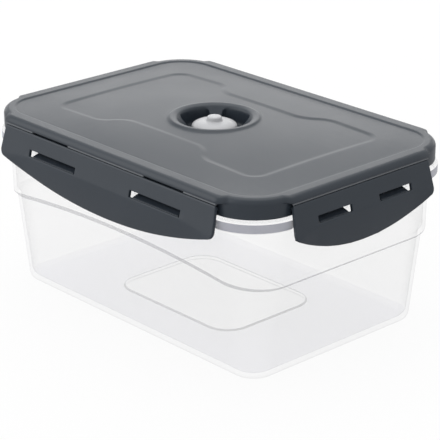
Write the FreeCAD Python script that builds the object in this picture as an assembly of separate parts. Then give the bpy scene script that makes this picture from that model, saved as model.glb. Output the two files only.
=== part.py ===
import FreeCAD, Part
import math
import os

from FreeCAD import Vector

# A rectangular vacuum food canister: clear box, grey lid, seal, valve and four lock flaps.
# Millimetres, +Z up, X along the box, origin under the middle of the base.

# Box
base_length = 195.6
base_width = 126.8
base_corner = 14.0
base_edge = 4.0
rim_length = 212.8
rim_width = 145.0
rim_corner = 24.0
rim_height = 98.2
wall = 1.8
floor = 2.0
upper_draft_deg = 1.0
ledge_height = 60.0
ledge_arc_radius = 764.0
ledge_step = 1.2
panel_length = 94.0
panel_width = 69.0
panel_corner = 14.0
panel_rise = 0.9
flange_width = 4.4
flange_drop = 6.0
flange_thickness = 3.1
flange_edge = 0.7
gusset_width = 2.4
gusset_height = 2.8
gusset_round = 1.6

# Seal and lid
seal_height = 2.6
seal_clearance = 0.15
plate = 2.1
field_step = 0.7
field_margin = 6.4
lid_crown = 3.9
crown_fade = 0.3
waist_step = 0.6
waist_length = 160.4
waist_end_width = 93.0
waist_width = 71.0
waist_corner = 9.0
waist_bend_start = 27.0
waist_bend_end = 47.0
skirt_wall = 1.5
skirt_clearance = 1.4
skirt_gap = 2.1
lid_edge = 3.2
plug_clearance = 0.5
plug_wall = 1.5
plug_depth = 2.4

# Valve well in the middle of the lid
lip_radius = 24.0
lip_rise = 3.2
lip_round = 1.4
mouth_radius = 20.6
mouth_drop = 0.8
well_radius = 20.0
well_wall = 1.8
pocket_depth = 7.4
pocket_angle_deg = 66.0
pocket_corner = 3.6
pilaster_radius = 15.6
seat_radius = 14.2
seat_depth = 4.2
seat_wall = 1.8
stem_radius = 2.3
stem_clearance = 0.3
vent_radius = 1.0
vent_circle = 6.5

# Valve
disc_radius = 12.9
disc_edge = 1.1
disc_crown = 1.7
knob_radius = 4.4
knob_height = 5.7
knob_round = 1.2
knob_foot = 7.4
valve_travel = 2.5
barb_radius = 3.8
barb_length = 3.2
barb_clearance = 0.2

# Lock flaps and their film hinges
hinge_reach = 1.2
hinge_drop = 4.2
film_radius = 0.5
film_web = 0.5
film_height = 0.6
film_clearance = 0.35
shoulder_end = 1.0
flap_wall = 2.0
long_flap_gap = 20.7
short_flap_gap = 22.7
flap_splay = 1.3
flap_lean_deg = 14.0
flap_top_gap = 0.3
flap_chamfer = 1.7
crease_depth = 14.0
lip_bulge_depth = 20.5
lip_bulge_out = 3.3
lip_end_out = 1.6
flap_end_corner = 5.0
long_flap_depth = 31.3
long_flap_arc = 268.0
short_flap_depth = 31.1
short_flap_arc = 105.0
slot_drop = 9.2
slot_height = 3.6
long_slot_bridge = 45.0
long_slot_margin = 23.8
short_slot_bridge = 20.4
short_slot_margin = 15.4
hinge_slit = 31.0
hook_reach = 2.2
hook_gap = 0.25
hook_tip = 1.4
hook_root = 3.2
hook_side_gap = 0.6

# Levels and plan sizes that follow from the sizes above
rim_x = rim_length / 2
rim_y = rim_width / 2
flange_top = rim_height - flange_drop
flange_bottom = flange_top - flange_thickness
lid_under = rim_height + seal_height
waist_level = lid_under + plate
field_level = waist_level + waist_step
lid_top = field_level + field_step
hinge_z = lid_top - hinge_drop
shoulder_bottom = hinge_z + film_height
skirt_bottom = flange_top + skirt_gap
skirt_out = skirt_clearance + skirt_wall
field_out = skirt_out - field_margin
hinge_out = flange_width + hinge_reach
lip_top = lid_top + lip_rise
seat_level = lip_top - lip_rise - seat_depth
pocket_floor = lid_top - pocket_depth
cup_bottom = pocket_floor - well_wall
seat_bottom = seat_level - seat_wall
lean = math.tan(math.radians(flap_lean_deg))


def rounded_wire(half_x, half_y, radius, z):
    """Closed rounded rectangle at height z, centred on the Z axis."""
    x, y = half_x - radius, half_y - radius
    diagonal = radius * math.sqrt(0.5)
    edges = []
    for sx, sy in ((1, 1), (-1, 1), (-1, -1), (1, -1)):
        along_y = Vector(sx * half_x, sy * y, z)
        along_x = Vector(sx * x, sy * half_y, z)
        middle = Vector(sx * (x + diagonal), sy * (y + diagonal), z)
        start, end = (along_y, along_x) if sx * sy > 0 else (along_x, along_y)
        if edges:
            edges.append(Part.LineSegment(edges[-1].Vertexes[-1].Point, start).toShape())
        edges.append(Part.Arc(start, middle, end).toShape())
    edges.append(Part.LineSegment(edges[-1].Vertexes[-1].Point, edges[0].Vertexes[0].Point).toShape())
    return Part.Wire(edges)


def prism(half_x, half_y, radius, low, high):
    """Upright rounded rectangular block between two levels."""
    return Part.Face(rounded_wire(half_x, half_y, radius, low)).extrude(Vector(0, 0, high - low))


def taper(low_wire, high_wire):
    """Straight-sided solid between two outlines."""
    return Part.makeLoft([low_wire, high_wire], True, True)


def level_edges(shape, z):
    """Edges of a shape that lie at one height."""
    return [e for e in shape.Edges if abs(e.BoundBox.ZMin - z) < 1e-6 and abs(e.BoundBox.ZMax - z) < 1e-6]


def turned(points, angle=360.0, start=0.0):
    """Solid of revolution about Z from a closed profile of (radius, height) points.

    A point with a third value is the middle of an arc between its neighbours.
    """
    edges = []
    for before, here, after in zip(points[-1:] + points[:-1], points, points[1:] + points[:1]):
        if len(here) == 3:
            edges.append(arc(*(Vector(p[0], 0, p[1]) for p in (before, here, after))))
        elif len(after) == 2:
            edges.append(line(Vector(here[0], 0, here[1]), Vector(after[0], 0, after[1])))
    solid = Part.Face(Part.Wire(edges)).revolve(Vector(0, 0, 0), Vector(0, 0, 1), angle)
    solid.rotate(Vector(0, 0, 0), Vector(0, 0, 1), start)
    return solid


def side_profile(edges, low, high):
    """Extrude a profile in the (outward, height) plane of the front side along X."""
    return Part.Face(Part.Wire(edges)).extrude(Vector(high - low, 0, 0)).translated(Vector(low, 0, 0))


def line(a, b):
    return Part.LineSegment(a, b).toShape()


def arc(a, b, c):
    return Part.Arc(a, b, c).toShape()


def closed(points):
    """Straight edges round a closed list of points."""
    return [line(a, b) for a, b in zip(points, points[1:] + points[:1])]


# Sides of the box: each is modelled at the front and turned about Z to its place
sides = {
    "front": {"turn": 0, "rim": rim_y, "along": rim_x},
    "right": {"turn": 90, "rim": rim_x, "along": rim_y},
    "back": {"turn": 180, "rim": rim_y, "along": rim_x},
    "left": {"turn": 270, "rim": rim_x, "along": rim_y},
}
for side in sides.values():
    is_long = side["along"] == rim_x
    side["half"] = side["along"] - (long_flap_gap if is_long else short_flap_gap)
    side["depth"] = long_flap_depth if is_long else short_flap_depth
    side["arc"] = long_flap_arc if is_long else short_flap_arc
    bridge = long_slot_bridge if is_long else short_slot_bridge
    margin = long_slot_margin if is_long else short_slot_margin
    near, far = bridge / 2, side["half"] - margin
    side["slots"] = [(-far, -near), (near, far)]
    slit = (far - hinge_slit, far)
    split = [(-side["half"], -slit[1]), (-slit[0], slit[0]), (slit[1], side["half"])]
    side["films"] = split if is_long else [(-side["half"], side["half"])]


def at_side(side, shape):
    """Turn a shape made at the front to its own side."""
    return shape.rotated(Vector(0, 0, 0), Vector(0, 0, 1), side["turn"])


def front(side, out, z):
    """Point of the front side's cross-section, out from the rim's outer face."""
    return Vector(0, -(side["rim"] + out), z)


# Box: tapered lower wall, stepped-out upper wall on an arched ledge, flange and gussets
def ledge_arc(extra):
    """Round bar along Y whose crown is the underside of the upper wall."""
    radius = ledge_arc_radius + extra
    low = ledge_height - ledge_arc_radius
    return Part.makeCylinder(radius, 2 * rim_width, Vector(0, -rim_width, low), Vector(0, 1, 0))


def upper_wire(inset, z):
    drawn_in = inset + (rim_height - z) * math.tan(math.radians(upper_draft_deg))
    return rounded_wire(rim_x - drawn_in, rim_y - drawn_in, rim_corner - inset, z)


def box_form(inset, bottom, top, ledge_extra, edge):
    """Outside form of the box, or its hollow when drawn in by the wall."""
    ledge_low = ledge_height - rim_x ** 2 / ledge_arc_radius
    lower_top = ledge_height + ledge_extra
    draw = ledge_step + (rim_height - ledge_height) * math.tan(math.radians(upper_draft_deg))
    slope_x = (rim_x - draw - base_length / 2) / ledge_height
    slope_y = (rim_y - draw - base_width / 2) / ledge_height

    def lower_wire(corner, z):
        x = base_length / 2 - inset + slope_x * z
        y = base_width / 2 - inset + slope_y * z
        return rounded_wire(x, y, corner - inset, z)

    lower = taper(lower_wire(base_corner, bottom), lower_wire(rim_corner - ledge_step, lower_top))
    lower = lower.makeFillet(edge, level_edges(lower, bottom))
    upper = taper(upper_wire(inset, ledge_low), upper_wire(inset, top))
    return lower.fuse(upper.cut(ledge_arc(ledge_extra)))


def gusset(side, u):
    """Rib under the flange at the end of a flap's slot, with a rounded outer corner."""
    root = front(side, -wall / 2, flange_bottom)
    low = flange_bottom - gusset_height
    edge = flange_width - flange_edge
    bend = gusset_round * (1 - math.sqrt(0.5))
    edges = [
        line(root, front(side, edge, flange_bottom)),
        line(front(side, edge, flange_bottom), front(side, edge, low + gusset_round)),
        arc(front(side, edge, low + gusset_round), front(side, edge - bend, low + bend),
            front(side, edge - gusset_round, low)),
        line(front(side, edge - gusset_round, low), front(side, -wall / 2, low)),
        line(front(side, -wall / 2, low), root),
    ]
    return at_side(side, side_profile(edges, u - gusset_width / 2, u + gusset_width / 2))


def make_box():
    outside = box_form(0.0, 0.0, rim_height, 0.0, base_edge)
    hollow = box_form(wall, floor, rim_height + wall, wall, base_edge - wall / 2)
    flange = prism(rim_x + flange_width, rim_y + flange_width, rim_corner + flange_width,
                   flange_bottom, flange_top)
    rim_edges = level_edges(flange, flange_bottom) + level_edges(flange, flange_top)
    flange = flange.makeFillet(flange_edge, rim_edges)
    gussets = [gusset(side, u) for side in sides.values() for slot in side["slots"] for u in slot]
    foot_panel = prism(panel_length / 2, panel_width / 2, panel_corner, 0, panel_rise)
    body = outside.fuse([flange] + gussets).cut(hollow)
    raised = foot_panel.translated(Vector(0, 0, floor))
    return body.fuse(raised).cut(foot_panel).removeSplitter()


# Seal: flat ring that the rim presses up into the lid
def make_seal():
    outer = skirt_clearance - seal_clearance
    inner = -wall - plug_clearance + seal_clearance
    ring = prism(rim_x + outer, rim_y + outer, rim_corner + outer, rim_height, lid_under)
    return ring.cut(prism(rim_x + inner, rim_y + inner, rim_corner + inner, rim_height, lid_under))


# Lid: skirted and slightly domed plate with hinge shoulders, a recessed waisted panel and the valve well
def crown(level):
    """Low dome over the lid's field, cut off level at its foot."""
    x, y = rim_x + field_out, rim_y + field_out
    rise = lid_crown + crown_fade
    steps = [i / 4 for i in range(-4, 5)]
    grid = [[Vector(x * u, y * v, level - crown_fade + rise * (1 - u ** 2) * (1 - v ** 2)) for v in steps]
            for u in steps]
    surface = Part.BSplineSurface()
    surface.interpolate(grid)
    block = surface.toShape().extrude(Vector(0, 0, -2 * lid_crown))
    return block.common(Part.makeBox(2 * x, 2 * y, 2 * lid_crown, Vector(-x, -y, level)))


def waist_half():
    """Half of the waisted outline; the other half is the same turned through 180 degrees."""
    x, end, middle = waist_length / 2, waist_end_width / 2, waist_width / 2
    r = waist_corner
    bend = r * (1 - math.sqrt(0.5))
    mid_bend = (waist_bend_start + waist_bend_end) / 2

    def at(px, py):
        return Vector(px, py, waist_level)

    def waist_curve(points):
        curve = Part.BezierCurve()
        curve.setPoles([at(px, py) for px, py in points])
        return curve.toShape()

    return [
        line(at(x, r - end), at(x, end - r)),
        arc(at(x, end - r), at(x - bend, end - bend), at(x - r, end)),
        line(at(x - r, end), at(waist_bend_end, end)),
        waist_curve([(waist_bend_end, end), (mid_bend, end), (mid_bend, middle), (waist_bend_start, middle)]),
        line(at(waist_bend_start, middle), at(-waist_bend_start, middle)),
        waist_curve([(-waist_bend_start, middle), (-mid_bend, middle), (-mid_bend, end), (-waist_bend_end, end)]),
        line(at(-waist_bend_end, end), at(r - x, end)),
        arc(at(r - x, end), at(bend - x, end - bend), at(-x, end - r)),
    ]


def shoulder(side):
    """Rounded bar along one side that reaches out from the skirt to the hinge line."""
    r = lid_top - shoulder_bottom
    root = skirt_out - lid_edge - skirt_wall
    bend = r * (1 - math.sqrt(0.5))
    edges = [
        line(front(side, root, shoulder_bottom), front(side, root, lid_top)),
        line(front(side, root, lid_top), front(side, hinge_out - r, lid_top)),
        arc(front(side, hinge_out - r, lid_top), front(side, hinge_out - bend, lid_top - bend),
            front(side, hinge_out, shoulder_bottom)),
        line(front(side, hinge_out, shoulder_bottom), front(side, root, shoulder_bottom)),
    ]
    reach = side["half"] + shoulder_end
    return at_side(side, side_profile(edges, -reach, reach))


def bend(centre_r, centre_z, radius):
    """Middle of a quarter round that crowns a turned profile on its outer side."""
    return centre_r + radius * math.sqrt(0.5), centre_z + radius * math.sqrt(0.5), "arc"


def make_pocket(turn):
    """Finger scoop in the wall of the well, with rounded upper corners."""
    top = lip_top - lip_round
    pocket = turned([(seat_radius, pocket_floor), (well_radius - well_wall, pocket_floor),
                     (well_radius, pocket_floor + well_wall), (well_radius, top), (seat_radius, top)],
                    pocket_angle_deg, turn - pocket_angle_deg / 2)
    upright = [e for e in pocket.Edges if e.BoundBox.ZMax - e.BoundBox.ZMin > well_wall
               and math.hypot(e.Vertexes[0].X, e.Vertexes[0].Y) > well_radius - 1e-6
               and math.hypot(e.Vertexes[1].X, e.Vertexes[1].Y) > well_radius - 1e-6]
    return pocket.makeFillet(pocket_corner, upright)


def make_well():
    """Cup of the valve well with its raised ring, and the shapes that are cut out of it."""
    cup_radius = well_radius + well_wall
    lip_low = lip_top - lip_round
    lip_out = lip_radius + lip_round
    lip_foot = lid_under + lid_crown
    cup = turned([(0, cup_bottom), (cup_radius, cup_bottom), (cup_radius, lip_foot), (lip_out, lip_foot),
                  (lip_out, lip_low), bend(lip_radius, lip_low, lip_round), (lip_radius, lip_top), (0, lip_top)])
    throat = seat_level + disc_edge
    bowl = turned([(0, seat_level), (pilaster_radius, seat_level), (pilaster_radius, throat),
                   (mouth_radius, lip_top - mouth_drop), (lip_radius, lip_top),
                   (lip_radius, lip_top + lip_round), (0, lip_top + lip_round)])
    pockets = [make_pocket(turn) for turn in (0, 90, 180, 270)]
    core = Part.makeCylinder(seat_radius - well_wall, seat_bottom - cup_bottom, Vector(0, 0, cup_bottom))
    hole = Part.makeCylinder(stem_radius + stem_clearance, seat_wall, Vector(0, 0, seat_bottom))
    vent = Part.makeCylinder(vent_radius, seat_wall, Vector(vent_circle, 0, seat_bottom))
    vents = [vent.rotated(Vector(0, 0, 0), Vector(0, 0, 1), turn) for turn in (45, 135, 225, 315)]
    return cup, [bowl, core, hole] + pockets + vents


def make_lid():
    body = prism(rim_x + skirt_out, rim_y + skirt_out, rim_corner + skirt_out, skirt_bottom, lid_top)
    body = body.makeFillet(lid_edge, level_edges(body, lid_top))
    body = body.fuse([shoulder(side) for side in sides.values()])
    body = body.cut(prism(rim_x + field_out, rim_y + field_out, rim_corner + field_out, field_level, lid_top))
    body = body.fuse(crown(field_level))
    half = waist_half()
    other = [edge.rotated(Vector(0, 0, 0), Vector(0, 0, 1), 180) for edge in half]
    panel = Part.Face(Part.Wire(half + other)).extrude(Vector(0, 0, 2 * lid_crown))
    body = body.cut(panel.cut(crown(waist_level)))
    under = skirt_clearance
    body = body.cut(prism(rim_x + under, rim_y + under, rim_corner + under, skirt_bottom, lid_under))
    body = body.cut(crown(lid_under))
    outer = -wall - plug_clearance
    inner = outer - plug_wall
    plug_bottom = rim_height - plug_depth
    plug = prism(rim_x + outer, rim_y + outer, rim_corner + outer, plug_bottom, lid_under)
    plug = plug.cut(prism(rim_x + inner, rim_y + inner, rim_corner + inner, plug_bottom, lid_under))
    cup, cuts = make_well()
    return body.fuse([plug, cup]).cut(cuts).removeSplitter()


# Valve: one-piece silicone disc with a pull knob and a barbed stem through the lid
def make_valve():
    knob_top = seat_level + disc_crown + knob_height
    barb_top = seat_bottom - valve_travel - barb_clearance
    barb_bottom = barb_top - barb_length
    knob_low = knob_top - knob_round
    return turned([(0, barb_bottom), (stem_radius, barb_bottom), (barb_radius, barb_top), (stem_radius, barb_top),
                   (stem_radius, seat_level), (disc_radius, seat_level), (disc_radius, seat_level + disc_edge),
                   (knob_foot, seat_level + disc_crown), (knob_radius, seat_level + disc_crown + knob_round),
                   (knob_radius, knob_low), bend(knob_radius - knob_round, knob_low, knob_round),
                   (knob_radius - knob_round, knob_top), (0, knob_top)])


# Film hinges: thin beads on the hinge line that hang from the shoulder
def make_film(side):
    reach = side["rim"] + hinge_out - film_radius
    solids = []
    for low, high in side["films"]:
        bead = Part.makeCylinder(film_radius, high - low, Vector(low, -reach, hinge_z), Vector(1, 0, 0))
        web = Part.makeBox(high - low, film_web, film_height, Vector(low, -reach - film_web / 2, hinge_z))
        solids.append(bead.fuse(web).removeSplitter())
    return at_side(side, Part.makeCompound(solids))


# Lock flaps: leaning panel, creased lip with an arched lower edge, slots and hooks
def flap_section(side):
    """Cross-section of a flap from the hinge down past its lower edge."""
    deep = hinge_z - side["depth"] - flap_wall
    top = hinge_z - flap_top_gap
    thick = flap_wall / math.cos(math.radians(flap_lean_deg))
    below = top - flap_chamfer
    shoulder_out = hinge_out + lean * (hinge_z - below - film_radius)
    crease = hinge_z - crease_depth
    crease_out = shoulder_out + lean * (below - crease)
    bulge = hinge_z - lip_bulge_depth
    outer = [
        (hinge_out - film_radius, top), (shoulder_out, below), (crease_out, crease),
        (hinge_out + lip_bulge_out, bulge), (hinge_out + lip_end_out, deep),
    ]
    pts = [front(side, out, z) for out, z in outer]
    back = [front(side, out - thick, z) for out, z in outer]
    back[0] = front(side, hinge_out - thick, top)
    return [
        line(pts[0], pts[1]), line(pts[1], pts[2]), arc(pts[2], pts[3], pts[4]), line(pts[4], back[4]),
        arc(back[4], back[3], back[2]), line(back[2], back[0]), line(back[0], pts[0]),
    ]


def flap_outline(side):
    """Front view of a flap: straight top, splayed ends, arched lower edge, rounded lower corners."""
    r, reach = flap_end_corner, side["half"] + flap_splay - flap_end_corner
    lowest = hinge_z - side["depth"]
    centre = lowest + side["arc"]
    tilt = math.asin(reach / (side["arc"] - r))
    corner = Vector(reach, 0, centre - (side["arc"] - r) * math.cos(tilt))
    foot = corner + Vector(r * math.sin(tilt), 0, -r * math.cos(tilt))
    swing = (math.pi / 2 + tilt) / 2
    middle = corner + Vector(r * math.sin(swing), 0, -r * math.cos(swing))
    side_low = corner + Vector(r, 0, 0)

    def mirrored(p):
        return Vector(-p.x, 0, p.z)

    top = Vector(side["half"], 0, hinge_z)
    edges = [
        line(mirrored(top), top), line(top, side_low), arc(side_low, middle, foot),
        arc(foot, Vector(0, 0, lowest), mirrored(foot)),
        arc(mirrored(foot), mirrored(middle), mirrored(side_low)), line(mirrored(side_low), mirrored(top)),
    ]
    face = Part.Face(Part.Wire(edges))
    return face.extrude(Vector(0, -2 * side["rim"], 0))


def hook(side, low, high):
    """Barbed rib under a slot that catches the underside of the flange."""
    slot_low = hinge_z - slot_drop - slot_height
    tip_top = flange_bottom - hook_gap
    tip = flange_width - hook_reach
    face_out = hinge_out + lean * (hinge_z - slot_low) - flap_wall / 2
    points = [front(side, face_out, slot_low), front(side, tip, tip_top), front(side, tip, tip_top - hook_tip),
              front(side, face_out, slot_low - hook_root)]
    inset = gusset_width / 2 + hook_side_gap
    return side_profile(closed(points), low + inset, high - inset)


def make_flap(side):
    half = side["half"]
    wide = half + flap_splay
    panel = side_profile(flap_section(side), -wide, wide).common(flap_outline(side))
    axis = front(side, hinge_out - film_radius, hinge_z) - Vector(half, 0, 0)
    groove = Part.makeCylinder(film_radius + film_clearance, 2 * half, axis, Vector(1, 0, 0))
    depth = hinge_out + lean * crease_depth + flap_wall
    slots = [Part.makeBox(high - low, depth, slot_height,
                          Vector(low, -side["rim"] - depth, hinge_z - slot_drop - slot_height))
             for low, high in side["slots"]]
    hooks = [hook(side, low, high) for low, high in side["slots"]]
    panel = panel.cut([groove] + slots).fuse(hooks)
    return at_side(side, panel.removeSplitter())


nodes = {
    "box": make_box(),
    "lid": make_lid(),
    "lid_seal": make_seal(),
    "vacuum_valve": make_valve(),
}
for name, side in sides.items():
    nodes["hinge_film_" + name] = make_film(side)
    nodes["lock_flap_" + name] = make_flap(side)

os.makedirs("parts", exist_ok=True)
for name, shape in nodes.items():
    shape.exportStep("parts/" + name + ".step")
    print(name, len(shape.Solids), shape.isValid(), round(shape.Volume), len(shape.Faces))
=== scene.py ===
import math

import bmesh
import bpy
from mathutils import Matrix, Vector


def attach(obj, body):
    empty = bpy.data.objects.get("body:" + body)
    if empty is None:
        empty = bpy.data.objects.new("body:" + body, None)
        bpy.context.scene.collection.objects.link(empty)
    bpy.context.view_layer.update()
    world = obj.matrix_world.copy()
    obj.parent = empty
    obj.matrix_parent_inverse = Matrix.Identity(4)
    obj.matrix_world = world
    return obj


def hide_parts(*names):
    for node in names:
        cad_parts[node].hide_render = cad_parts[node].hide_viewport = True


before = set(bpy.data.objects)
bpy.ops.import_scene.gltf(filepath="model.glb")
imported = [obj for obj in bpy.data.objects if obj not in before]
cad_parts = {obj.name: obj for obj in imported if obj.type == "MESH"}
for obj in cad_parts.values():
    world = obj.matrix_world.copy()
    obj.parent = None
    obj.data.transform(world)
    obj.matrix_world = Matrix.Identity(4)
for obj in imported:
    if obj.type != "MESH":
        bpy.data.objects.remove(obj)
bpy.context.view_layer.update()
scene = bpy.context.scene

# Clear box: the tub that holds the food, with a raised panel in its base, an arched ledge, and a flange
# under the rim that hangs as a lip round the corners. Slightly cloudy polypropylene, moulded in one shot
# with a thin, even wall, and greyer where it is seen edge-on. Painted shade darkens the lower wall a
# little, and darkens the floor inside, the ledge's bend, the panel's step and the flange's outer face more.
MM = 0.001
rim, rim_top = (106.4, 72.5, 24.0), 98.2
foot, foot_round, inner_round = (97.8, 63.4, 14.0), 4.0, 5.0
wall, floor_wall = 1.8, 2.0
draft = math.tan(math.radians(1.0))
ledge_crown, ledge_arc, ledge_step = 60.0, 764.0, 1.2
base_panel, base_rise = (47.0, 34.5, 14.0), 0.9
flange_low, flange_out, flange_face_top = 89.1, 4.4, 2.4
corner_lip, lip_start, lip_ramp = 2.9, (77.0, 41.0), 7.0
gusset_width, gusset_height, gusset_out, gusset_round = 2.4, 2.8, 3.7, 1.6
long_slot, short_slot = (22.5, 61.9), (10.2, 34.4)
sides = {
    "front": {"turn": 0.0, "rim": rim[1], "slot": long_slot},
    "right": {"turn": 0.5 * math.pi, "rim": rim[0], "slot": short_slot},
    "back": {"turn": math.pi, "rim": rim[1], "slot": long_slot},
    "left": {"turn": 1.5 * math.pi, "rim": rim[0], "slot": short_slot},
}


def offset(outline, out):
    """Rounded rectangle (half length, half width, corner radius) grown outwards."""
    return tuple(value + out for value in outline)


def between(first, second, share):
    """Outline part of the way from one to another."""
    return tuple(a + (b - a) * share for a, b in zip(first, second))


def lower_wall(inset):
    """Outline of the tapered lower wall as a function of height."""
    drawn = ledge_step + (rim_top - ledge_crown) * draft
    shelf = (rim[0] - drawn, rim[1] - drawn, rim[2] - ledge_step)
    return lambda z: between(offset(foot, -inset), offset(shelf, -inset), z / ledge_crown)


def upper_wall(inset):
    """Outline of the upper wall, which leans out by its draft."""
    return lambda z: offset(rim, -inset - (rim_top - z) * draft)


def step_wall(inset, share):
    """Outline on its way from the lower wall out to the upper one."""
    return lambda z: between(lower_wall(inset)(z), upper_wall(inset)(z), share)


def ledge(rise):
    """Height of the arched ledge as a function of the place along the box."""
    return lambda place: ledge_crown + rise - place.x * place.x / (2 * ledge_arc)


def lip(rise, share):
    """Height on the flange's edge, which hangs lower as a lip round each corner, clear of the flaps."""
    def height(place):
        past_x = min(1, max(0, (abs(place.x) - lip_start[0]) / lip_ramp))
        past_y = min(1, max(0, (abs(place.y) - lip_start[1]) / lip_ramp))
        return flange_low + rise - corner_lip * share * past_x * past_y
    return height


def start_ring(bm, cuts_x, cuts_y):
    """Closed ring of edges whose vertices remember their corner and their direction out of it."""
    core = bm.verts.layers.float_vector.new("core")
    turn = bm.verts.layers.float_vector.new("turn")
    steps = 64
    circle = bmesh.ops.create_circle(bm, segments=steps, radius=1.0)["verts"]
    bmesh.ops.rotate(bm, verts=circle, cent=(0, 0, 0), matrix=Matrix.Rotation(math.pi / steps, 3, "Z"))
    for v in circle:
        v[core] = Vector((math.copysign(1, v.co.x), math.copysign(1, v.co.y), 0))
        v[turn] = v.co
    for axis, cuts in ((0, cuts_x), (1, cuts_y)):
        flats = [e for e in bm.edges if e.is_wire
                 and abs(e.verts[0][core][axis] - e.verts[1][core][axis]) > 1.5]
        bmesh.ops.subdivide_edges(bm, edges=flats, cuts=cuts)
    return [e for e in bm.edges if e.is_wire]


def place_ring(bm, ring, outline, height):
    """Moves a ring onto an outline at a height; both may depend on the place."""
    core = bm.verts.layers.float_vector["core"]
    turn = bm.verts.layers.float_vector["turn"]
    for v in {v for e in ring for v in e.verts}:
        z = height(v.co) if callable(height) else height
        x, y, r = outline(z) if callable(outline) else outline
        v.co = (v[core].x * (x - r) + v[turn].x * r, v[core].y * (y - r) + v[turn].y * r, z)


def grow_ring(bm, ring):
    """New ring joined to the last one by a band of faces."""
    grown = bmesh.ops.extrude_edge_only(bm, edges=ring)["geom"]
    return [e for e in grown if isinstance(e, bmesh.types.BMEdge)]


def add_piece(bm, name, material):
    """Merged, outward-facing and smooth object in metres from a mesh in millimetres."""
    bmesh.ops.remove_doubles(bm, verts=bm.verts[:], dist=0.001)
    bmesh.ops.recalc_face_normals(bm, faces=bm.faces[:])
    bmesh.ops.scale(bm, vec=(MM, MM, MM), verts=bm.verts[:])
    for face in bm.faces:
        face.smooth = True
    mesh = bpy.data.meshes.new(name)
    bm.to_mesh(mesh)
    bm.free()
    mesh.materials.append(material)
    piece = bpy.data.objects.new(name, mesh)
    scene.collection.objects.link(piece)
    return piece


def weigh_normals(piece):
    """Keeps broad faces flat next to their rounded edges."""
    piece.modifiers.new("weighted_normals", "WEIGHTED_NORMAL").keep_sharp = True


def new_material(name):
    """New material with its nodes, its links and its shader."""
    material = bpy.data.materials.new(name)
    material.use_nodes = True
    tree = material.node_tree
    return material, tree.nodes, tree.links, tree.nodes["Principled BSDF"]


def noise(nodes, links, place, scale, detail):
    """Noise value over the object's own coordinates."""
    texture = nodes.new("ShaderNodeTexNoise")
    texture.inputs["Scale"].default_value = scale
    texture.inputs["Detail"].default_value = detail
    links.new(place, texture.inputs["Vector"])
    return texture.outputs["Fac"]


def ranged(nodes, links, value, low, high):
    """Value from nought to one turned into one from low to high."""
    span = nodes.new("ShaderNodeMapRange")
    span.inputs["To Min"].default_value = low
    span.inputs["To Max"].default_value = high
    links.new(value, span.inputs["Value"])
    return span.outputs["Result"]


def blended(nodes, links, share, first, second):
    """Colour between two, each given as a tuple or as the output of another node."""
    mix = nodes.new("ShaderNodeMix")
    mix.data_type = "RGBA"
    links.new(share, mix.inputs["Factor"])
    for socket, colour in (("A", first), ("B", second)):
        if isinstance(colour, tuple):
            mix.inputs[socket].default_value = (*colour, 1)
        else:
            links.new(colour, mix.inputs[socket])
    return mix.outputs["Result"]


def paired(nodes, links, operation, first, second):
    """Value worked out from two others."""
    maths = nodes.new("ShaderNodeMath")
    maths.operation = operation
    links.new(first, maths.inputs[0])
    links.new(second, maths.inputs[1])
    return maths.outputs["Value"]


def bumped(nodes, links, height, strength, distance):
    """Normal roughened by a height."""
    bump = nodes.new("ShaderNodeBump")
    bump.inputs["Strength"].default_value = strength
    bump.inputs["Distance"].default_value = distance
    links.new(height, bump.inputs["Height"])
    return bump.outputs["Normal"]


inner_share = 0.12


def milky(name, low_tint, high_tint, edge_tint, haze, edge_haze):
    """Thin cloudy plastic that veils what is behind it, more seen edge-on and less seen from within."""
    material, nodes, links, shader = new_material(name)
    shader.inputs["Specular IOR Level"].default_value = 0.25
    place = nodes.new("ShaderNodeTexCoord").outputs["Object"]
    height = nodes.new("ShaderNodeSeparateXYZ")
    links.new(place, height.inputs["Vector"])
    upward = nodes.new("ShaderNodeMapRange")
    upward.inputs["From Max"].default_value = ledge_crown * MM
    links.new(height.outputs["Z"], upward.inputs["Value"])
    slant = nodes.new("ShaderNodeLayerWeight")
    slant.inputs["Blend"].default_value = 0.25
    edge_on = slant.outputs["Facing"]
    tint = blended(nodes, links, upward.outputs["Result"], low_tint, high_tint)
    links.new(blended(nodes, links, edge_on, tint, edge_tint), shader.inputs["Base Color"])
    flow = noise(nodes, links, place, 26.0, 2.0)
    links.new(ranged(nodes, links, flow, 0.2, 0.32), shader.inputs["Roughness"])
    links.new(bumped(nodes, links, flow, 0.06, 0.002), shader.inputs["Normal"])
    from_within = nodes.new("ShaderNodeNewGeometry").outputs["Backfacing"]
    veil = ranged(nodes, links, edge_on, haze, edge_haze)
    side_share = ranged(nodes, links, from_within, 1.0, inner_share)
    links.new(paired(nodes, links, "MULTIPLY", veil, side_share), shader.inputs["Alpha"])
    return material


# Painted shade: the wall's colour runs from a cooler, slightly darker white at the bottom to cream at the
# ledge.
shaded_cool_white, cream, wall_edge = (0.95, 0.95, 0.98), (1.0, 0.985, 0.965), (0.6, 0.61, 0.66)
base_shade_lilac, base_shade_edge = (0.7, 0.7, 0.95), (0.5, 0.5, 0.68)
bend_shade_grey, flange_shade_lilac = (0.36, 0.36, 0.4), (0.37, 0.38, 0.45)
plastics = {
    "wall": milky("clear_plastic", shaded_cool_white, cream, wall_edge, 0.03, 0.3),
    # Painted shade: lilac grey for the shade on the floor inside the box.
    "base": milky("shaded_base", base_shade_lilac, base_shade_lilac, base_shade_edge, 0.08, 0.3),
    # Painted shade: dark grey for the shade along the ledge's bend and the panel's step.
    "bend": milky("shaded_bend", bend_shade_grey, bend_shade_grey, bend_shade_grey, 0.4, 0.45),
    # Painted shade: dark lilac grey for the shade on the flange's face under the lid's skirt.
    "flange": milky("shaded_flange", flange_shade_lilac, flange_shade_lilac, flange_shade_lilac, 0.8, 0.9),
}

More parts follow.
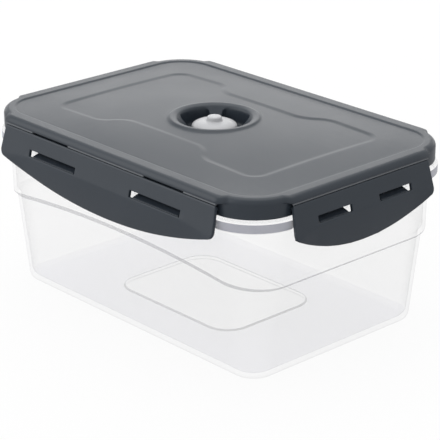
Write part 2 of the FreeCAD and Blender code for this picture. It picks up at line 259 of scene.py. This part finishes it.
# The wall's section runs from under the base panel up the outside, over the rim and down the inside to the
# panel again. Each row gives an outline, a height and the plastic of the band that leads to it.
soft_step = ((-0.6, 0.0), (-0.25, 0.06), (0.0, 0.5), (0.25, 0.94), (0.6, 1.0))
ledge_curve = ((0.0, -1.5), (0.07, -0.7), (0.3, -0.2), (0.7, 0.2), (0.93, 0.7), (1.0, 1.5))
under_flange = ((-0.17, -1.2), (-0.05, -0.35), (0.3, -0.06), (0.9, 0.0))
flange_lip = ((2.5, 0.0, 0.0), (2.75, 0.0, 0.1), (2.8, 0.0, 0.9), (3.0, 0.0, 1.0), (3.7, 0.0, 1.0),
              (4.19, 0.21, 1.0), (flange_out, 0.7, 1.0))
flange_top = ((4.19, 2.89), (3.7, 3.1))
over_flange = ((0.8, 3.1), (0.3, 3.18), (0.07, 3.4), (0.0, 3.9))
rim_edge = ((0.0, -0.7), (-0.2, -0.2), (-0.65, 0.0), (-1.15, 0.0), (-1.6, -0.2), (-1.8, -0.7))
profile = [(offset(base_panel, out), base_rise * (1 - share), "wall") for out, share in soft_step]
for degrees in range(0, 91, 15):
    angle = math.radians(degrees)
    profile.append((lower_wall(foot_round * (1 - math.sin(angle))), foot_round * (1 - math.cos(angle)),
                    "wall"))
# Painted shade: the outer band of the ledge's bend takes the grey bend plastic, so the ledge shows as a
# shaded line.
profile += [(step_wall(0.0, share), ledge(rise), "bend" if share else "wall")
            for share, rise in ledge_curve]
profile += [(offset(rim, out), flange_low + rise, "wall") for out, rise in under_flange]
profile += [(offset(rim, out), lip(rise, share), "wall") for out, rise, share in flange_lip]
# Painted shade: the flange's outer face takes the dark lilac-grey flange plastic, for the shade under the
# lid's skirt.
profile.append((offset(rim, flange_out), flange_low + flange_face_top, "flange"))
profile += [(offset(rim, out), flange_low + rise, "wall") for out, rise in flange_top + over_flange]
profile += [(offset(rim, out), rim_top + rise, "wall") for out, rise in rim_edge]
profile += [(step_wall(wall, share), ledge(wall + rise), "wall")
            for share, rise in reversed(ledge_curve)]
# Painted shade: the lower part of the inner foot rounding and the floor round the panel take the lilac base
# plastic, and the panel's step takes the grey bend plastic.
for degrees in range(90, -1, -15):
    angle = math.radians(degrees)
    profile.append((lower_wall(wall + inner_round * (1 - math.sin(angle))),
                    floor_wall + inner_round * (1 - math.cos(angle)),
                    "base" if degrees < 60 else "wall"))
profile += [(offset(base_panel, out), floor_wall + base_rise * (1 - share),
             "bend" if 0 < share < 1 else "base")
            for out, share in reversed(soft_step)]

bm = bmesh.new()
ring = start_ring(bm, 23, 11)
for count, (outline, height, plastic) in enumerate(profile):
    if count:
        ring = grow_ring(bm, ring)
    place_ring(bm, ring, outline, height)
    for face in {face for edge in ring for face in edge.link_faces}:
        face.material_index = list(plastics).index(plastic)
    if count in (0, len(profile) - 1):
        bmesh.ops.edgeloop_fill(bm, edges=ring)
for side in sides.values():
    for u in (-side["slot"][1], -side["slot"][0], side["slot"][0], side["slot"][1]):
        rib = bmesh.ops.create_cube(bm, size=1.0)["verts"]
        bmesh.ops.scale(bm, vec=(gusset_width, gusset_out + 0.2, gusset_height), verts=rib)
        middle = (u, -side["rim"] - gusset_out / 2 + 0.1, flange_low - gusset_height / 2 + 0.02)
        bmesh.ops.translate(bm, vec=middle, verts=rib)
        corner = [e for e in {e for v in rib for e in v.link_edges}
                  if all(v.co.z < middle[2] and v.co.y < middle[1] for v in e.verts)]
        rest = bmesh.ops.bevel(bm, geom=corner, offset=gusset_round, affect="EDGES", segments=5,
                               profile=0.5, material=-1)["verts"]
        moved = {v for v in rib if v.is_valid} | set(rest)
        bmesh.ops.rotate(bm, verts=list(moved), cent=(0, 0, 0),
                         matrix=Matrix.Rotation(side["turn"], 3, "Z"))
tub = add_piece(bm, "clear_box", plastics["wall"])
for plastic in ("base", "bend", "flange"):
    tub.data.materials.append(plastics[plastic])
weigh_normals(tub)
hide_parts("box")
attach(tub, "box")

# Lid: a skirted, slightly domed plate with a shoulder along each hinge, a waisted panel and a round
# valve well with four finger scoops. Dark grey satin polypropylene, moulded in one shot with the flaps.
lid_under, panel_level, field_level, lid_top = 100.8, 102.9, 103.5, 104.2
lid_crown, field_half, ring_rise = 3.9, (102.9, 69.0), 3.5
shoulder_low, skirt_low, channel_low = 100.6, 93.3, 95.8
skirt_out, skirt_in, hinge_out = 2.9, 1.4, 5.6
long_flap, short_flap, shoulder_past = 85.7, 49.8, 1.3


def grain_group():
    """Mottle, roughness and fine texture of moulded plastic."""
    group = bpy.data.node_groups.new("moulded_grain", "ShaderNodeTree")
    group.interface.new_socket("Vector", in_out="INPUT", socket_type="NodeSocketVector")
    for name in ("Mottle", "Roughness", "Height"):
        group.interface.new_socket(name, in_out="OUTPUT", socket_type="NodeSocketFloat")
    nodes, links = group.nodes, group.links
    place, end = nodes.new("NodeGroupInput").outputs["Vector"], nodes.new("NodeGroupOutput")
    cloud = noise(nodes, links, place, 38.0, 3.0)
    links.new(cloud, end.inputs["Mottle"])
    links.new(ranged(nodes, links, cloud, 0.3, 0.38), end.inputs["Roughness"])
    links.new(noise(nodes, links, place, 2600.0, 2.0), end.inputs["Height"])
    return group


moulded_grain = grain_group()


def grained(name, dark, light, bump):
    """Plastic between two close colours with the moulded grain."""
    material, nodes, links, shader = new_material(name)
    place = nodes.new("ShaderNodeTexCoord")
    grain = nodes.new("ShaderNodeGroup")
    grain.node_tree = moulded_grain
    links.new(place.outputs["Object"], grain.inputs["Vector"])
    links.new(blended(nodes, links, grain.outputs["Mottle"], dark, light), shader.inputs["Base Color"])
    links.new(grain.outputs["Roughness"], shader.inputs["Roughness"])
    links.new(bumped(nodes, links, grain.outputs["Height"], bump, 0.0001), shader.inputs["Normal"])
    shader.inputs["Specular IOR Level"].default_value = 0.45
    return material


lid_grey = grained("lid_grey", (0.029, 0.038, 0.050), (0.034, 0.044, 0.057), 0.25)


def ease(share):
    """Smooth way from nought to one."""
    return share * share * (3 - 2 * share)


def crown(x, y):
    """Rise of the dome over the lid's field."""
    return lid_crown * max(0, 1 - (x / field_half[0]) ** 2) * max(0, 1 - (y / field_half[1]) ** 2)


bm = bmesh.new()
end_corner, waist_bend, waist_reach, step_width, step_rows = 11.0, 6.0, 60.0, 4.4, 8
waist = ((82.4, 48.7), (41.1, 48.7), (31.1, 37.7))
outline = [(sx * x, sy * y) for sx, sy, order in ((1, 1, 1), (-1, 1, -1), (-1, -1, 1), (1, -1, -1))
           for x, y in waist[::order]]
bm.faces.new([bm.verts.new((x, y, field_level)) for x, y in outline])
bends = [v for v in bm.verts if abs(v.co.x) < waist_reach]
ends = [v for v in bm.verts if abs(v.co.x) > waist_reach]
for corners, size, segments in ((ends, end_corner, 8), (bends, waist_bend, 6)):
    bmesh.ops.bevel(bm, geom=corners, offset=size, affect="VERTICES", segments=segments, profile=0.5,
                    material=-1)
for edge in bm.edges[:]:
    if edge.calc_length() > 12:
        bmesh.ops.subdivide_edges(bm, edges=[edge], cuts=int(edge.calc_length() / 6))
panel = bm.faces[:][0]
for row in range(step_rows):
    drop = (field_level - panel_level) * (ease((row + 1) / step_rows) - ease(row / step_rows))
    bmesh.ops.inset_region(bm, faces=[panel], use_boundary=True, use_even_offset=True,
                           thickness=step_width / step_rows, depth=-drop)
panel_edge = panel.edges[:]
bmesh.ops.delete(bm, geom=[panel], context="FACES_ONLY")
bm.edges.ensure_lookup_table()
field_edge = [e for e in bm.edges if e.is_boundary and e not in panel_edge]

ring = start_ring(bm, 23, 11)
core = bm.verts.layers.float_vector["core"]
turn = bm.verts.layers.float_vector["turn"]


def beside_flap(v):
    """True for a ring vertex that lies along a flap, where the lid has its shoulder."""
    skirt = rim[2] + skirt_out
    x = abs(v[core].x * (rim[0] - rim[2]) + v[turn].x * skirt)
    y = abs(v[core].y * (rim[1] - rim[2]) + v[turn].y * skirt)
    along_long = abs(v[turn].y) > 0.8 and x < long_flap + shoulder_past
    along_short = abs(v[turn].x) > 0.8 and y < short_flap + shoulder_past
    return along_long or along_short


def place_lid_ring(ring, at_corner, at_side):
    """Ring set out from the rim, on one path round the corners and another along the flaps."""
    for v in {v for e in ring for v in e.verts}:
        out, z = at_side if beside_flap(v) else at_corner
        x, y, r = offset(rim, out)
        v.co = (v[core].x * (x - r) + v[turn].x * r, v[core].y * (y - r) + v[turn].y * r, z)


field_step = ((-4.3, 0.0), (-3.95, 0.1), (-3.5, 0.5), (-3.05, 0.9), (-2.7, 1.0), (-2.0, 1.0))
rings = [((out, field_level + (lid_top - field_level) * share),) * 2 for out, share in field_step]
corner_round, shoulder_round = 3.2, lid_top - shoulder_low
for degrees in range(0, 91, 10):
    angle = math.radians(degrees)
    inward, down = 1 - math.sin(angle), 1 - math.cos(angle)
    rings.append(((skirt_out - corner_round * inward, lid_top - corner_round * down),
                  (hinge_out - shoulder_round * inward, lid_top - shoulder_round * down)))
rings.append(((skirt_out, 100.8), (hinge_out - 0.25, shoulder_low - 0.05)))
rings.append(((skirt_out, 100.7), (skirt_out + 0.3, shoulder_low - 0.05)))
rings.append(((skirt_out, 100.4), (skirt_out, shoulder_low - 0.4)))
skirt_and_channel = (
    (skirt_out, skirt_low + 0.5), (skirt_out - 0.15, skirt_low + 0.13), (skirt_out - 0.5, skirt_low),
    (skirt_in + 0.4, skirt_low), (skirt_in, skirt_low + 0.4), (skirt_in, lid_under - 0.3),
    (skirt_in - 0.3, lid_under), (-2.0, lid_under), (-2.3, lid_under - 0.3), (-2.3, channel_low + 0.4),
    (-2.7, channel_low), (-3.4, channel_low), (-3.8, channel_low + 0.4), (-3.8, lid_under - 0.3),
    (-4.1, lid_under))
rings += [(point,) * 2 for point in skirt_and_channel]
for count, (at_corner, at_side) in enumerate(rings):
    if count:
        ring = grow_ring(bm, ring)
    else:
        field_rim = ring
    place_lid_ring(ring, at_corner, at_side)
under_rim = ring

# The well is turned: the first pair is the wall between the scoops, the second the bottom of a scoop,
# and the last value narrows the scoop towards its arched top. The ring outside its crest follows the dome.
ring_foot, ring_crest, cup_reach, stem_bore = 28.5, 24.0, 21.8, 2.6
well = [
    ((ring_foot, panel_level), None), ((27.2, 102.92), None), ((26.4, 103.0), None),
    ((25.8, 103.16), None), ((25.35, 103.38), None), ((24.95, 103.62), None), ((24.5, 103.82), None),
    ((ring_crest, 103.9), None), ((23.3, 107.34), None), ((22.3, 107.15), None), ((21.5, 106.95), None),
    ((20.95, 106.75), None), ((20.65, 106.5), None), ((20.2, 106.05), (20.4, 106.2, 9)),
    ((19.5, 105.3), (20.1, 105.6, 5)), ((18.7, 104.45), (20.0, 104.5, 2)),
    ((17.6, 103.25), (20.0, 101.8, 0)), ((16.5, 102.05), (20.0, 99.2, 0)), ((15.8, 101.3), (19.5, 97.6, 0)),
    ((15.6, 100.9), (18.4, 96.9, 0)), ((15.6, 100.5), (16.5, 96.8, 0)),
    ((15.45, 100.15), (14.8, 96.95, 0)), ((15.1, 100.0), (14.3, 97.6, 0)),
    ((14.6, 100.0), (14.2, 99.5, 0)), ((13.9, 100.0), (13.9, 100.0, 0)),
    ((stem_bore, 100.0), None), ((stem_bore, 98.2), None), ((12.4, 98.2), None), ((12.4, 95.0), None),
    ((cup_reach, 95.0), None), ((cup_reach, lid_under), None)]
scoop_half, scoop_edge = 33.0, 2.6
scoop = bm.verts.layers.float_vector.new("scoop")
path = []
for (r, z), deep in well:
    v = bm.verts.new((r, 0, z))
    v[scoop] = Vector(deep) if deep else Vector((r, z, 0))
    path.append(v)
path += [bm.edges.new(pair) for pair in zip(path, path[1:])]
before = set(bm.verts) - set(path)
bmesh.ops.spin(bm, geom=path, cent=(0, 0, 0), axis=(0, 0, 1), angle=2 * math.pi, steps=480,
               use_merge=True)
for v in set(bm.verts) - before:
    angle = math.degrees(math.atan2(v.co.y, v.co.x))
    off_middle = abs((angle + 45) % 90 - 45)
    r, z = math.hypot(v.co.x, v.co.y), v.co.z
    deep_r, deep_z, narrow = v[scoop]
    share = ease(min(1, max(0, (scoop_half - narrow - off_middle) / scoop_edge + 0.5)))
    new_r, new_z = r + (deep_r - r) * share, z + (deep_z - z) * share
    v.co = (v.co.x * new_r / r, v.co.y * new_r / r, new_z)
well_rims = [e for e in bm.edges if e.is_boundary
             and all(abs(v.co.xy.length - ring_foot) < 0.01 for v in e.verts)]
cup_rims = [e for e in bm.edges if e.is_boundary
            and all(abs(v.co.xy.length - cup_reach) < 0.01 for v in e.verts)]
for first, second in ((field_rim, field_edge), (panel_edge, well_rims), (under_rim, cup_rims)):
    rims = first + second
    plate = bmesh.ops.triangle_fill(bm, edges=rims, use_beauty=True, normal=(0, 0, 1))["geom"]
    plate = list(set(plate + rims))
    for normal in (Vector((1, 0, 0)), Vector((0, 1, 0))):
        for reach in range(-100, 101, 8):
            plate = bmesh.ops.bisect_plane(bm, geom=plate, dist=0.001, plane_co=normal * reach,
                                           plane_no=normal)["geom"]
for v in bm.verts:
    reach, rise = v.co.xy.length, crown(v.co.x, v.co.y)
    if abs(v.co.z - lid_under) < 0.01 and reach > cup_reach - 0.1:
        v.co.z += rise
    elif panel_level - 0.01 < v.co.z < panel_level + 1.1 and reach > ring_crest - 0.1:
        v.co.z += ring_rise + (rise - ring_rise) * min(1, max(0, (reach - ring_crest) / 3))
lid = add_piece(bm, "lid_moulding", lid_grey)
weigh_normals(lid)
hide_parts("lid")
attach(lid, "lid")

# Lock flaps: leaning panels that hang from the lid's film hinges, each with two slots, a crease that
# bends down at the ends, a lip with an arched edge, and two hooks that catch under the flange. Same grey
# plastic and same shot as the lid.
flap_grey = grained("flap_grey", (0.028, 0.037, 0.049), (0.033, 0.043, 0.056), 0.2)
flap_wall, flap_splay, flap_corner, edge_round = 2.0, 1.3, 4.2, 0.45
crease_drop, bend_lead, crease_ease = 4.4, 5.6, 0.9
lip_slope, lip_curl = 0.030, 0.0063
long_lip, short_lip = (68.7, 268.0), (68.9, 105.0)
flap_top, flap_round, crease, slot_top, slot_low = 99.5, 97.6, 86.0, 90.8, 87.2
lean = math.tan(math.radians(14.0))
hook_inset, hook_tip_out, hook_top, hook_tip, hook_root = 1.8, 2.2, 88.85, 1.4, 3.2
for name, side in sides.items():
    is_long = name in ("front", "back")
    side["half"] = long_flap if is_long else short_flap
    side["low"], side["arc"] = long_lip if is_long else short_lip


def flap_out(z, bend):
    """How far the outer face of a flap stands out from the rim, where its crease has bent down."""
    round_out = hinge_out + lean * (flap_top - flap_round)
    if z > flap_round:
        share = (z - flap_round) / (flap_top - flap_round)
        return hinge_out - 0.5 + (round_out - hinge_out + 0.5) * math.sqrt(max(0, 1 - share * share))
    if z > crease - bend:
        return round_out + lean * (flap_round - z)
    below = crease - bend - z
    at_crease = round_out + lean * (flap_round - crease + bend)
    return at_crease + lip_slope * below - lip_curl * below * below


def soft_out(z, bend):
    """The same, with the crease eased over a millimetre or two."""
    reach = crease_ease if z < flap_round - 1 else 0.0
    return (flap_out(z - reach, bend) + 2 * flap_out(z, bend) + flap_out(z + reach, bend)) / 4


def make_flap(name, side):
    """One flap with its slots and hooks, drawn at the front and then turned to its side."""
    half, low, arc = side["half"], side["low"], side["arc"]
    reach = half + flap_splay - flap_corner
    tilt = math.asin(reach / (arc - flap_corner))
    corner_z = low + arc - (arc - flap_corner) * math.cos(tilt)
    right_half = [(half, flap_top)]
    for step in range(9):
        angle = (math.pi / 2 - tilt) * step / 8
        right_half.append((reach + flap_corner * math.cos(angle),
                           corner_z - flap_corner * math.sin(angle)))
    foot_u = right_half[-1][0]
    for step in range(1, 20):
        u = foot_u * (1 - step / 20)
        right_half.append((u, low + arc - math.sqrt(arc * arc - u * u)))
    outline = right_half + [(0, low)] + [(-u, z) for u, z in reversed(right_half)]
    bm = bmesh.new()
    bm.faces.new([bm.verts.new((u, 0, z)) for u, z in outline])
    rows = [flap_top - 0.4, flap_top - 1.0, flap_round, slot_top, slot_low]
    rows += [crease + 0.6, crease, crease - 0.6, crease - 1.3]
    rows += [crease - 2.5 - 1.4 * step for step in range(11)]
    cuts = [((0, 0, z), (0, 0, 1)) for z in rows]
    ends = [side["slot"][1] + (half - side["slot"][1]) * share for share in (0.2, 0.4, 0.6, 0.8)]
    cuts += [((sign * u, 0, 0), (1, 0, 0)) for sign in (-1, 1) for u in (*side["slot"], *ends)]
    for point, normal in cuts:
        bmesh.ops.bisect_plane(bm, geom=bm.verts[:] + bm.edges[:] + bm.faces[:], dist=0.0001,
                               plane_co=point, plane_no=normal)
    holes = [f for f in bm.faces if slot_low < f.calc_center_median().z < slot_top
             and side["slot"][0] < abs(f.calc_center_median().x) < side["slot"][1]]
    bmesh.ops.delete(bm, geom=holes, context="FACES")
    bend_start = side["slot"][1] - bend_lead
    for v in bm.verts:
        past_slot = max(0, (abs(v.co.x) - bend_start) / (half - bend_start))
        v.co.y = -side["rim"] - soft_out(v.co.z, crease_drop * past_slot * past_slot)
    bmesh.ops.recalc_face_normals(bm, faces=bm.faces[:])
    if sum(f.normal.y for f in bm.faces) > 0:
        bmesh.ops.reverse_faces(bm, faces=bm.faces[:])
    bmesh.ops.solidify(bm, geom=bm.faces[:], thickness=flap_wall)
    root_out = flap_out(slot_low, 0) - flap_wall / 2
    for sign in (-1, 1):
        hook_ends = (side["slot"][0] + hook_inset, side["slot"][1] - hook_inset)
        near, far = sorted(sign * u for u in hook_ends)
        hook = bm.faces.new([bm.verts.new((near, -side["rim"] - out, z)) for out, z in (
            (root_out, slot_low), (hook_tip_out, hook_top), (hook_tip_out, hook_top - hook_tip),
            (root_out, slot_low - hook_root))])
        grown = bmesh.ops.extrude_face_region(bm, geom=[hook], use_keep_orig=True)["geom"]
        bmesh.ops.translate(bm, vec=(far - near, 0, 0),
                            verts=[v for v in grown if isinstance(v, bmesh.types.BMVert)])
    bmesh.ops.rotate(bm, verts=bm.verts[:], cent=(0, 0, 0),
                     matrix=Matrix.Rotation(side["turn"], 3, "Z"))
    flap = add_piece(bm, "lock_flap_panel_" + name, flap_grey)
    rounding = flap.modifiers.new("rounded_edges", "BEVEL")
    rounding.width = edge_round * MM
    rounding.segments = 3
    rounding.limit_method = "ANGLE"
    rounding.angle_limit = math.radians(45)
    rounding.use_clamp_overlap = False
    weigh_normals(flap)
    return flap


for name, side in sides.items():
    flap = make_flap(name, side)
    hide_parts("lock_flap_" + name)
    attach(flap, "flap_" + name)

# Film hinges: thin beads of plastic that the flaps bend on, moulded in one shot with the flaps and the
# lid. Plastic that has been bent is a little paler than the rest, and the films are painted far paler
# still: a painted highlight along the hinge line.
film_whitening_and_highlight = grained("film_whitening_and_highlight", (0.13, 0.14, 0.155), (0.15, 0.16, 0.175), 0.1)


def finish_solid(name, material):
    """Gives a solid that keeps its own shape its material."""
    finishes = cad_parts[name].data.materials
    finishes.clear()
    finishes.append(material)


for name in sides:
    finish_solid("hinge_film_" + name, film_whitening_and_highlight)

# Vacuum valve: one soft silicone moulding, a domed disc with a pull knob. It lies on the floor of the
# well, and its barbed stem is pushed through the lid.
silicone = grained("silicone", (0.52, 0.525, 0.54), (0.57, 0.575, 0.59), 0.3)
knob = [(0, 107.4), (2.2, 107.4), (3.0, 107.37), (3.6, 107.2), (3.95, 106.85), (4.1, 106.4),
        (4.1, 105.5), (4.2, 105.1), (4.5, 104.8), (5.1, 104.65)]
disc = [(6.0, 104.6), (7.5, 104.5), (9.0, 104.25), (10.5, 103.75), (11.5, 103.2), (12.1, 102.75),
        (12.4, 102.2), (12.5, 101.6), (12.5, 100.4), (12.3, 100.1), (11.9, 100.02)]
stem = [(2.3, 100.02), (2.3, 95.5), (3.8, 95.5), (2.3, 92.3), (0, 92.3)]
bm = bmesh.new()
path = [bm.verts.new((r, 0, z)) for r, z in knob + disc + stem]
path += [bm.edges.new(pair) for pair in zip(path, path[1:])]
bmesh.ops.spin(bm, geom=path, cent=(0, 0, 0), axis=(0, 0, 1), angle=2 * math.pi, steps=96,
               use_merge=True)
valve = add_piece(bm, "vacuum_valve_disc", silicone)
weigh_normals(valve)
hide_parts("vacuum_valve")
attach(valve, "valve")

# Seal: flat ring of white silicone, laid loose in the lid's channel and pressed by the rim of the box.
# It lies out of sight, so its shape is the solid's own.
seal_white = grained("seal_silicone", (0.66, 0.66, 0.65), (0.72, 0.72, 0.71), 0.2)
finish_solid("lid_seal", seal_white)

# Studio: a pale floor that keeps a faint shadow, a white room, and five soft lamps, of which three stand
# behind the object, one above it and one at the front left. The camera is fitted to the photograph.


def seen_directly(nodes, links):
    """One where the camera looks straight at a surface or through a clear one, and nought elsewhere."""
    rays = nodes.new("ShaderNodeLightPath")
    direct, through = rays.outputs["Is Camera Ray"], rays.outputs["Is Transmission Ray"]
    return paired(nodes, links, "MAXIMUM", direct, through)


floor_lift = 0.93
ground, nodes, links, shader = new_material("studio_floor")
shader.inputs["Roughness"].default_value = 0.9
seen = seen_directly(nodes, links)
tone = blended(nodes, links, seen, (0.55, 0.55, 0.56), (0.95, 0.95, 0.95))
links.new(tone, shader.inputs["Base Color"])
glow = nodes.new("ShaderNodeEmission")
lit = nodes.new("ShaderNodeMixShader")
links.new(ranged(nodes, links, seen, 0.0, floor_lift), lit.inputs["Fac"])
links.new(shader.outputs["BSDF"], lit.inputs[1])
links.new(glow.outputs["Emission"], lit.inputs[2])
links.new(lit.outputs["Shader"], nodes["Material Output"].inputs["Surface"])
bm = bmesh.new()
bmesh.ops.create_grid(bm, x_segments=4, y_segments=4, size=4000.0)
studio = add_piece(bm, "studio_floor", ground)
studio.location.z = -0.0003

world = bpy.data.worlds.new("studio")
scene.world = world
world.use_nodes = True
nodes, links = world.node_tree.nodes, world.node_tree.links
room = nodes["Background"]
room.inputs["Color"].default_value = (1, 1, 1, 1)
room.inputs["Strength"].default_value = 0.7
backdrop = nodes.new("ShaderNodeBackground")
backdrop.inputs["Strength"].default_value = 1.0
choose = nodes.new("ShaderNodeMixShader")
links.new(seen_directly(nodes, links), choose.inputs["Fac"])
links.new(room.outputs["Background"], choose.inputs[1])
links.new(backdrop.outputs["Background"], choose.inputs[2])
links.new(choose.outputs["Shader"], nodes["World Output"].inputs["Surface"])

lamps = {
    "backdrop": ((-1.0, 0.95, 0.5), 2.4, 1.0, 1.4),
    "window": ((-0.97, 0.92, 0.57), 0.7, 0.3, 0.9),
    "horizon": ((-1.3, 1.2, 0.12), 2.4, 0.22, 1.6),
    "overhead": ((-0.3, 0.3, 1.6), 1.6, 1.6, 8.4),
    "front_left": ((-1.1, -1.6, 1.0), 2.2, 2.0, 14.0),
}
for name, (spot, width, height, energy) in lamps.items():
    lamp = bpy.data.lights.new(name, "AREA")
    lamp.shape = "RECTANGLE"
    lamp.energy, lamp.size, lamp.size_y = energy, width, height
    holder = bpy.data.objects.new(name, lamp)
    scene.collection.objects.link(holder)
    holder.location = spot
    holder.rotation_euler = Vector(spot).to_track_quat("Z", "Y").to_euler()

azimuth, elevation, distance = math.radians(47.51), math.radians(21.66), 1.0442
shift_right, shift_down, middle_height = 0.00304, 0.00068, 0.04667
back = Vector((math.sin(azimuth) * math.cos(elevation), -math.cos(azimuth) * math.cos(elevation),
               math.sin(elevation)))
right = Vector((math.cos(azimuth), math.sin(azimuth), 0))
up = back.cross(right)
target = Vector((0, 0, middle_height))
place = target + back * distance
aim = target + right * shift_right - up * shift_down
view = bpy.data.cameras.new("photo_view")
view.sensor_width = 36
view.lens = 152.6
camera = bpy.data.objects.new("photo_view", view)
scene.collection.objects.link(camera)
turned = (aim - place).to_track_quat("-Z", "Y").to_matrix().to_4x4()
camera.matrix_world = Matrix.Translation(place) @ turned
scene.camera = camera
scene.view_settings.view_transform = "Standard"
